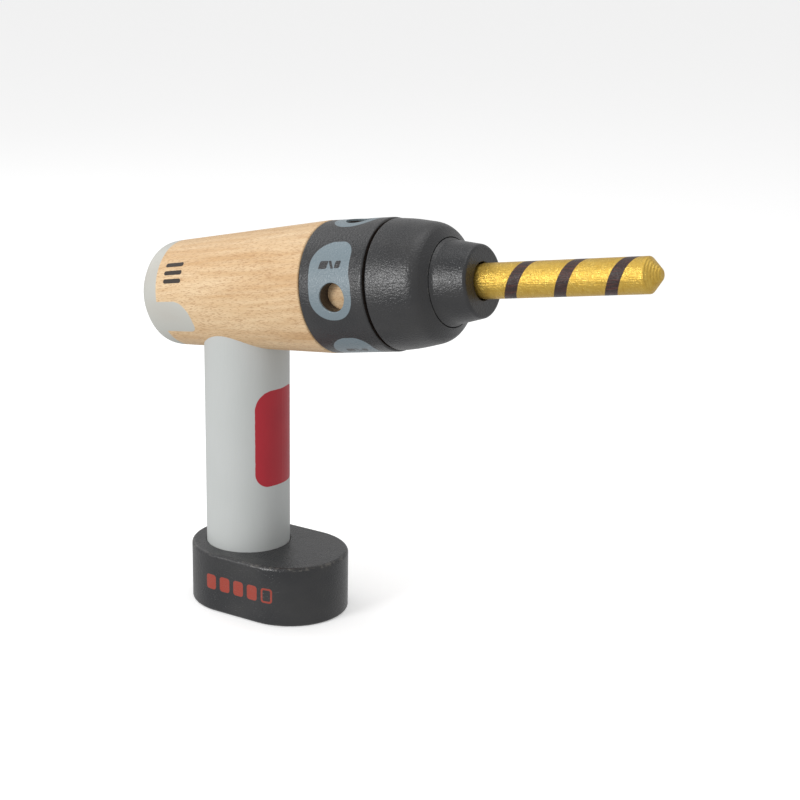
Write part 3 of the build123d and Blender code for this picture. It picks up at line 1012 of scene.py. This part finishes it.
@dataclass(frozen=True)
class TurnedMetalFinish(Finish):
    """Turned metal with fine tool rings and light tarnish.

    Attributes:
        metal: Clean metal.
        tarnish: Dulled metal.
        roughness: Roughness of clean metal.
        rings: Tool rings per millimetre.
    """

    metal: Colour = srgb(196, 198, 202)
    tarnish: Colour = srgb(128, 128, 130)
    roughness: float = 0.28
    rings: float = 6.0

    def wire(self, graph: Graph, local: Outputs, looks: Dict[str, Value]) -> None:
        """Wire the finish. See Finish.wire."""
        rings = graph.noise(local["Position"], (self.rings, 0.25, 0.25), 2.0, 0.6)
        haze = graph.noise(local["Position"], (0.5, 0.5, 0.5), 4.0, 0.6)
        colour = graph.mix(graph.span(haze, 0.45, 0.75, 0.0, 0.7), self.metal, self.tarnish)
        looks["Base Color"] = colour
        looks["Metallic"] = 1.0
        rough = graph.span(haze, 0.3, 0.8, self.roughness, self.roughness + 0.22)
        looks["Roughness"] = rough
        looks["Normal"] = graph.bump(rings, 0.02, 0.6)


@dataclass(frozen=True)
class MouldedFinish(Finish):
    """Dull moulded or pressed stuff: fibre, rubber or nylon.

    Attributes:
        colour: Main colour.
        fleck: Second colour.
        roughness: Mean roughness.
        cells: Texture cells per millimetre.
    """

    colour: Colour = srgb(40, 40, 42)
    fleck: Colour = srgb(58, 57, 56)
    roughness: float = 0.7
    cells: float = 3.0

    def wire(self, graph: Graph, local: Outputs, looks: Dict[str, Value]) -> None:
        """Wire the finish. See Finish.wire."""
        grit = graph.noise(local["Position"], (self.cells,) * 3, 3.0, 0.6)
        cloud = graph.noise(local["Position"], (0.2, 0.2, 0.2), 2.0)
        colour = graph.mix(graph.span(grit, 0.45, 0.7), self.colour, self.fleck)
        looks["Base Color"] = colour
        rough = graph.span(cloud, 0.3, 0.7, self.roughness - 0.06, self.roughness + 0.1)
        looks["Roughness"] = rough
        looks["Normal"] = graph.bump(grit, 0.04, 0.6)


@dataclass(frozen=True)
class FloorFinish(Finish):
    """Matt white studio floor with an even glow of its own.

    Attributes:
        tone: Floor colour.
        patch: Second, slightly darker colour.
        glow: Strength of the floor's own even glow.
    """

    tone: Colour = (0.93, 0.93, 0.93, 1.0)
    patch: Colour = (0.88, 0.88, 0.89, 1.0)
    glow: float = 0.30

    def wire(self, graph: Graph, local: Outputs, looks: Dict[str, Value]) -> None:
        """Wire the finish. See Finish.wire."""
        cloud = graph.noise(local["Position"], (0.004, 0.004, 0.004), 2.0)
        colour = graph.mix(graph.span(cloud, 0.3, 0.7, 0.0, 0.02), self.tone, self.patch)
        looks["Base Color"] = colour
        looks["Roughness"] = 0.9
        looks["Specular IOR Level"] = 0.1
        looks["Emission Color"] = (1.0, 1.0, 1.0, 1.0)
        looks["Emission Strength"] = self.glow


# ---------------- geometry
def solid(name: str, body: Body, mesh: Mesh) -> bpy.types.Object:
    """Put a finished mesh in the scene, riding on a body.

    Args:
        name: Piece name.
        body: Body it rides on.
        mesh: Mesh in the row frame.

    Returns:
        The new object.
    """
    piece = bpy.data.objects.new(name, mesh)
    bpy.context.scene.collection.objects.link(piece)
    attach(piece, body.value)
    return piece


def turned_mesh(name: str, profile: Sequence[Tuple[float, float]], sides: int = 96) -> Mesh:
    """Turn a closed profile about X.

    Args:
        name: Mesh name.
        profile: Corners as station and radius, in millimetres.
        sides: Facets round the axis.

    Returns:
        The turned mesh, facing outward.
    """
    count = len(profile)
    points = []
    for side in range(sides):
        angle = 2 * math.pi * side / sides
        for station, radius in profile:
            points.append((station, radius * math.cos(angle), radius * math.sin(angle)))
    faces = []
    for side in range(sides):
        here, after = side * count, (side + 1) % sides * count
        for corner in range(count):
            turn = (corner + 1) % count
            faces.append((here + corner, here + turn, after + turn, after + corner))
    mesh = bpy.data.meshes.new(name)
    mesh.from_pydata(points, [], faces)
    return outward(mesh)


def outward(mesh: Mesh) -> Mesh:
    """Make every shell of a mesh face outward.

    Args:
        mesh: Mesh of closed shells.

    Returns:
        The same mesh.
    """
    shape = bmesh.new()
    shape.from_mesh(mesh)
    bmesh.ops.recalc_face_normals(shape, faces=shape.faces)
    shape.to_mesh(mesh)
    shape.free()
    return mesh


def joined(name: str, parts: Sequence[Mesh]) -> Mesh:
    """Join meshes into one.

    Args:
        name: Name of the joined mesh.
        parts: Meshes to join; they are removed.

    Returns:
        The joined mesh.
    """
    shape = bmesh.new()
    for part in parts:
        shape.from_mesh(part)
        bpy.data.meshes.remove(part)
    mesh = bpy.data.meshes.new(name)
    shape.to_mesh(mesh)
    shape.free()
    return mesh


class KnurlTree:
    """Geometry Nodes tree that sets two bands of slanted teeth round X."""

    name = "knurl_bands"
    inputs = (
        ("Teeth", "NodeSocketInt"),
        ("Radius", "NodeSocketFloat"),
        ("Band Length", "NodeSocketFloat"),
        ("Band Offset", "NodeSocketFloat"),
        ("Tooth Size", "NodeSocketFloat"),
        ("Slant", "NodeSocketFloat"),
        ("Metal", "NodeSocketMaterial"),
    )

    def tree(self) -> Tree:
        """Build the tree once.

        Returns:
            The geometry tree.
        """
        known = bpy.data.node_groups.get(self.name)
        if known is not None:
            return known
        tree = bpy.data.node_groups.new(self.name, "GeometryNodeTree")
        for label, kind in self.inputs:
            tree.interface.new_socket(name=label, in_out="INPUT", socket_type=kind)
        tree.interface.new_socket(
            name="Geometry", in_out="OUTPUT", socket_type="NodeSocketGeometry"
        )
        graph = Graph(tree)
        given = tree.nodes.new("NodeGroupInput").outputs
        join = tree.nodes.new("GeometryNodeJoinGeometry")
        for sign in (-1.0, 1.0):
            tree.links.new(self.band(graph, given, sign), join.inputs[0])
        real = graph.add("GeometryNodeRealizeInstances", {"Geometry": join.outputs[0]})
        laid = graph.add(
            "GeometryNodeTransform",
            {"Geometry": real.outputs[0], "Rotation": (0.0, math.pi / 2, 0.0)},
        )
        dressed = graph.add(
            "GeometryNodeSetMaterial", {"Geometry": laid.outputs[0], "Material": given["Metal"]}
        )
        output = tree.nodes.new("NodeGroupOutput")
        graph.feed(output.inputs[0], dressed.outputs[0])
        return tree

    def band(self, graph: Graph, given: Outputs, sign: float) -> Socket:
        """Wire one band of teeth round Z.

        Args:
            graph: Writer for the tree.
            given: The tree's inputs.
            sign: Side of the middle, and the way that the teeth slant.

        Returns:
            The band's instances.
        """
        shift = graph.times(given["Band Offset"], sign)
        circle = graph.add(
            "GeometryNodeMeshCircle", {"Vertices": given["Teeth"], "Radius": given["Radius"]}
        )
        place = graph.add("ShaderNodeCombineXYZ", {2: shift})
        moved = graph.add(
            "GeometryNodeTransform",
            {"Geometry": circle.outputs[0], "Translation": place.outputs[0]},
        )
        size = graph.add(
            "ShaderNodeCombineXYZ",
            {0: given["Tooth Size"], 1: given["Tooth Size"], 2: given["Band Length"]},
        )
        tooth = graph.add("GeometryNodeMeshCube", {"Size": size.outputs[0]})
        edge_on = graph.add(
            "GeometryNodeTransform",
            {"Geometry": tooth.outputs[0], "Rotation": (0.0, 0.0, math.pi / 4)},
        )
        lean = graph.add("ShaderNodeCombineXYZ", {0: graph.times(given["Slant"], sign)})
        lean_turn = graph.add("FunctionNodeEulerToRotation", {0: lean.outputs[0]})
        slanted = graph.add(
            "GeometryNodeTransform",
            {"Geometry": edge_on.outputs[0], "Rotation": lean_turn.outputs[0]},
        )
        index = graph.add("GeometryNodeInputIndex").outputs[0]
        step = graph.math("DIVIDE", 2 * math.pi, given["Teeth"])
        around = graph.add("ShaderNodeCombineXYZ", {2: graph.times(index, step)})
        turn = graph.add("FunctionNodeEulerToRotation", {0: around.outputs[0]})
        ring = graph.add(
            "GeometryNodeInstanceOnPoints",
            {
                "Points": moved.outputs[0],
                "Instance": slanted.outputs[0],
                "Rotation": turn.outputs[0],
            },
        )
        return ring.outputs[0]

    def grow(self, values: Dict[str, object]) -> Mesh:
        """Grow the teeth as a plain mesh.

        Args:
            values: Tree inputs by name.

        Returns:
            The teeth.
        """
        tree = self.tree()
        holder = bpy.data.objects.new("knurl_holder", bpy.data.meshes.new("knurl_holder"))
        bpy.context.scene.collection.objects.link(holder)
        modifier = holder.modifiers.new("knurl", "NODES")
        modifier.node_group = tree
        for item in tree.interface.items_tree:
            if item.in_out == "INPUT":
                modifier[item.identifier] = values[item.name]
        shaped = holder.evaluated_get(bpy.context.evaluated_depsgraph_get())
        teeth = bpy.data.meshes.new_from_object(shaped)
        holder.modifiers.remove(modifier)
        bpy.data.objects.remove(holder)
        return teeth


@dataclass
class KnurledInsert:
    """A brass insert with two knurled bands, pressed into wood.

    Attributes:
        name: Piece name.
        node: CAD node that it stands for.
        axle: Axis that it lies on.
        start: Station of its rear end, in millimetres.
        length: Length in millimetres.
        outer: Outer radius in millimetres.
        bore: Bore radius in millimetres.
        finish: Finish to put on.
        teeth: Teeth in a band.
        edge: Chamfer at the ends.
        collar: Length of the plain collar at each end.
        groove: Width of the middle groove.
        step: How far the teeth's root lies below the outer radius.
        tooth: Side of a tooth.
        slant: Slant of the teeth in radians.
    """

    name: str
    node: str
    axle: Axle
    start: float
    length: float
    outer: float
    bore: float
    finish: Finish
    teeth: int = 30
    edge: float = 0.2
    collar: float = 0.8
    groove: float = 0.9
    step: float = 0.35
    tooth: float = 0.48
    slant: float = math.radians(14)

    def profile(self) -> List[Tuple[float, float]]:
        """Give the turned profile.

        Returns:
            Corners as station and radius, the insert's middle at station 0.
        """
        half, edge, collar = self.length / 2, self.edge, self.collar
        groove, root = self.groove, self.outer - self.step
        floor = root - 0.25
        return [
            (-half, self.bore + edge),
            (-half, self.outer - edge),
            (-half + edge, self.outer),
            (-half + collar, self.outer),
            (-half + collar, root),
            (-groove / 2, root),
            (-groove / 2, floor),
            (groove / 2, floor),
            (groove / 2, root),
            (half - collar, root),
            (half - collar, self.outer),
            (half - edge, self.outer),
            (half, self.outer - edge),
            (half, self.bore + edge),
            (half - edge, self.bore),
            (-half + edge, self.bore),
        ]

    def build(self) -> bpy.types.Object:
        """Build the insert and put it in its hole.

        Returns:
            The finished piece.
        """
        metal = self.finish.material()
        band = self.length / 2 - 2 * self.collar
        teeth = KnurlTree().grow(
            {
                "Teeth": self.teeth,
                "Radius": self.outer - 0.36,
                "Band Length": band,
                "Band Offset": band / 2 + 0.6,
                "Tooth Size": self.tooth,
                "Slant": self.slant,
                "Metal": metal,
            }
        )
        mesh = joined(self.name, [turned_mesh(self.name + "_body", self.profile()), teeth])
        mesh.transform(Matrix.Translation((self.start + self.length / 2, 0.0, 0.0)))
        mesh.transform(self.axle.matrix)
        mesh.materials.clear()
        mesh.materials.append(metal)
        piece = solid(self.name, Body.HOUSING, mesh)
        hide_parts(self.node)
        log.info("%s stands for %s", self.name, self.node)
        return piece


@dataclass(frozen=True)
class SoftBox:
    """A square area light aimed at the drill.

    Attributes:
        name: Light name.
        place: Position in metres.
        size: Side in metres.
        power: Power in watts.
    """

    name: str
    place: Tuple[float, float, float]
    size: float
    power: float


@dataclass(frozen=True)
class Studio:
    """White floor, soft lights and the camera.

    Attributes:
        reach: Half size of the floor, in metres.
        drop: How far the floor lies below the base, in metres.
        fill: Strength of the light from all round.
        boxes: Soft boxes.
        aim: Point that the boxes face.
        lens: Focal length in millimetres.
        eye: Camera position in metres.
        right: Camera's right.
        back: Camera's back.
    """

    reach: float = 14.0
    drop: float = 0.0001
    fill: float = 0.62
    boxes: Tuple[SoftBox, ...] = (
        SoftBox("key_box", (-0.27, -0.92, 0.40), 0.36, 5.2),
        SoftBox("rim_box", (-0.80, 0.10, 0.60), 0.6, 1.2),
        SoftBox("top_box", (0.1, 0.1, 1.2), 0.9, 3.0),
    )
    aim: Tuple[float, float, float] = (0.03, 0.0, 0.09)
    lens: float = 82.17
    eye: Tuple[float, float, float] = (0.42822, -0.57938, 0.30316)
    right: Tuple[float, float, float] = (0.8437, 0.5366, 0.0156)
    back: Tuple[float, float, float] = (0.5105, -0.8110, 0.2859)

    def build(self) -> None:
        """Build the studio."""
        self.floor()
        self.lights()
        self.camera()

    def floor(self) -> None:
        """Lay the floor under the base; it catches shadows and casts no light back."""
        mesh = bpy.data.meshes.new("studio_floor")
        signs = ((-1, -1), (1, -1), (1, 1), (-1, 1))
        corners = [(x * self.reach, y * self.reach, 0) for x, y in signs]
        mesh.from_pydata(corners, [], [(0, 1, 2, 3)])
        floor = bpy.data.objects.new("studio_floor", mesh)
        floor.data.materials.append(FloorFinish("studio_white", Axle.BASE).material())
        bpy.context.scene.collection.objects.link(floor)
        floor.location.z = -self.drop
        floor.visible_diffuse = False
        floor.visible_glossy = False

    def lights(self) -> None:
        """Hang the soft boxes and fill the room with light."""
        world = bpy.data.worlds.new("studio_world")
        bpy.context.scene.world = world
        world.use_nodes = True
        background = world.node_tree.nodes["Background"]
        background.inputs["Color"].default_value = (1.0, 1.0, 1.0, 1.0)
        background.inputs["Strength"].default_value = self.fill
        for box in self.boxes:
            lamp = bpy.data.lights.new(box.name, "AREA")
            lamp.shape = "SQUARE"
            lamp.size = box.size
            lamp.energy = box.power
            holder = bpy.data.objects.new(box.name, lamp)
            holder.location = box.place
            facing = Vector(self.aim) - Vector(box.place)
            holder.rotation_euler = facing.to_track_quat("-Z", "Y").to_euler()
            bpy.context.scene.collection.objects.link(holder)

    def camera(self) -> None:
        """Set the camera."""
        lens = bpy.data.cameras.new("camera")
        lens.lens = self.lens
        lens.sensor_width = 36.0
        camera = bpy.data.objects.new("camera", lens)
        bpy.context.scene.collection.objects.link(camera)
        right, back = Vector(self.right).normalized(), Vector(self.back).normalized()
        up = back.cross(right).normalized()
        turned = Matrix((right, up, back)).transposed().to_4x4()
        camera.matrix_world = Matrix.Translation(self.eye) @ turned
        bpy.context.scene.camera = camera


# ---------------- sub-assemblies
@dataclass
class Dressing:
    """One CAD node and what it wears.

    Attributes:
        node: CAD node name.
        slot: Material slot; not used.
        finish: Finish to put on.
    """

    node: str
    slot: Slot
    finish: Finish

    def apply(self) -> None:
        """Put the finish on the node."""
        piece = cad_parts[self.node]
        piece.data.materials.clear()
        piece.data.materials.append(self.finish.material())
        for polygon in piece.data.polygons:
            polygon.use_smooth = True
        log.info("%s wears %s", self.node, self.finish.name)


@dataclass
class SubAssembly:
    """Pieces that belong together.

    Attributes:
        name: Name for the log.
        dressings: CAD nodes and what they wear.
        inserts: Pieces built here in place of CAD nodes.
    """

    name: str
    dressings: List[Dressing] = field(default_factory=list)
    inserts: List[KnurledInsert] = field(default_factory=list)

    def build(self) -> None:
        """Dress or build every piece."""
        for dressing in self.dressings:
            dressing.apply()
        for insert in self.inserts:
            insert.build()
        log.info("%s: %d pieces", self.name, len(self.dressings) + len(self.inserts))


def sub_assemblies() -> List[SubAssembly]:
    """List the drill's sub-assemblies.

    Returns:
        The sub-assemblies, housing first.
    """
    drill, upright = Axle.DRILL, Axle.HANDLE
    gauge = tuple(Patch(-12.6 + 7.0 * step, 12.9, 2.5, 3.2, 1.3) for step in range(5))
    steel = TurnedMetalFinish("zinc_steel", drill)
    base_steel = TurnedMetalFinish("zinc_steel_upright", upright)
    brass = TurnedMetalFinish("brass_turned", drill, srgb(206, 168, 96), srgb(150, 112, 60))
    nickel = (srgb(206, 206, 204), srgb(150, 148, 142), 0.2, 1.0)
    rubber = (srgb(30, 30, 31), srgb(42, 42, 42), 0.62, 5.0)
    nylon = (srgb(214, 210, 196), srgb(200, 196, 182), 0.5, 2.0)
    black = BlackFinish("charcoal_paint", drill)
    housing = (
        ("barrel", Slot.BEECH, BarrelFinish("barrel_beech", drill)),
        ("handle", Slot.GREY_PAINT, HandleFinish("handle_paint", upright)),
        ("battery_base", Slot.BLACK_PAINT, BaseFinish("battery_paint", Axle.BASE, bars=gauge)),
        ("base_plug", Slot.DOWEL_WOOD, BareWoodFinish("plug_wood", upright)),
        ("barrel_dowel", Slot.DOWEL_WOOD, BareWoodFinish("dowel_wood", upright)),
        ("base_screw", Slot.ZINC_STEEL, base_steel),
        ("base_washer", Slot.ZINC_STEEL, base_steel),
        ("axle_screw", Slot.ZINC_STEEL, steel),
        ("axle_washer", Slot.ZINC_STEEL, steel),
        ("thrust_washer", Slot.BLACK_FIBRE, MouldedFinish("black_fibre", drill)),
        ("drag_ring", Slot.RUBBER, MouldedFinish("rubber_cord", drill, *rubber)),
    )
    ring = (("selector_ring", Slot.BLACK_PAINT, RingFinish("ring_paint", drill)),)
    chuck = (
        ("chuck_sleeve", Slot.BLACK_PAINT, black),
        ("chuck_nose", Slot.BLACK_PAINT, black),
        ("chuck_bush", Slot.NYLON, MouldedFinish("nylon_bush", drill, *nylon)),
        ("bit_magnet", Slot.MAGNET_PLATE, TurnedMetalFinish("magnet_plate", drill, *nickel)),
    )
    bit = (
        ("drill_bit", Slot.GOLD_PAINT, GoldFinish("gold_paint", drill)),
        ("bit_plate", Slot.ZINC_STEEL, steel),
    )
    handle_end = ("handle_insert_knurled", "handle_insert", upright, 12.0, 14.0, 4.0, 2.5, brass)
    tenon_end = ("tenon_insert_knurled", "tenon_insert", drill, 59.5, 15.0, 5.0, 3.0, brass)
    inserts = [KnurledInsert(*handle_end), KnurledInsert(*tenon_end)]
    return [
        SubAssembly("housing", [Dressing(*row) for row in housing], inserts),
        SubAssembly("ring", [Dressing(*row) for row in ring]),
        SubAssembly("chuck", [Dressing(*row) for row in chuck]),
        SubAssembly("bit", [Dressing(*row) for row in bit]),
    ]


def main() -> None:
    """Build the studio and dress the drill."""
    logging.basicConfig(level=logging.INFO, format="%(name)s: %(message)s")
    bpy.context.scene.view_settings.view_transform = "Standard"
    Studio().build()
    for assembly in sub_assemblies():
        assembly.build()


if __name__ == "__main__":
    main()
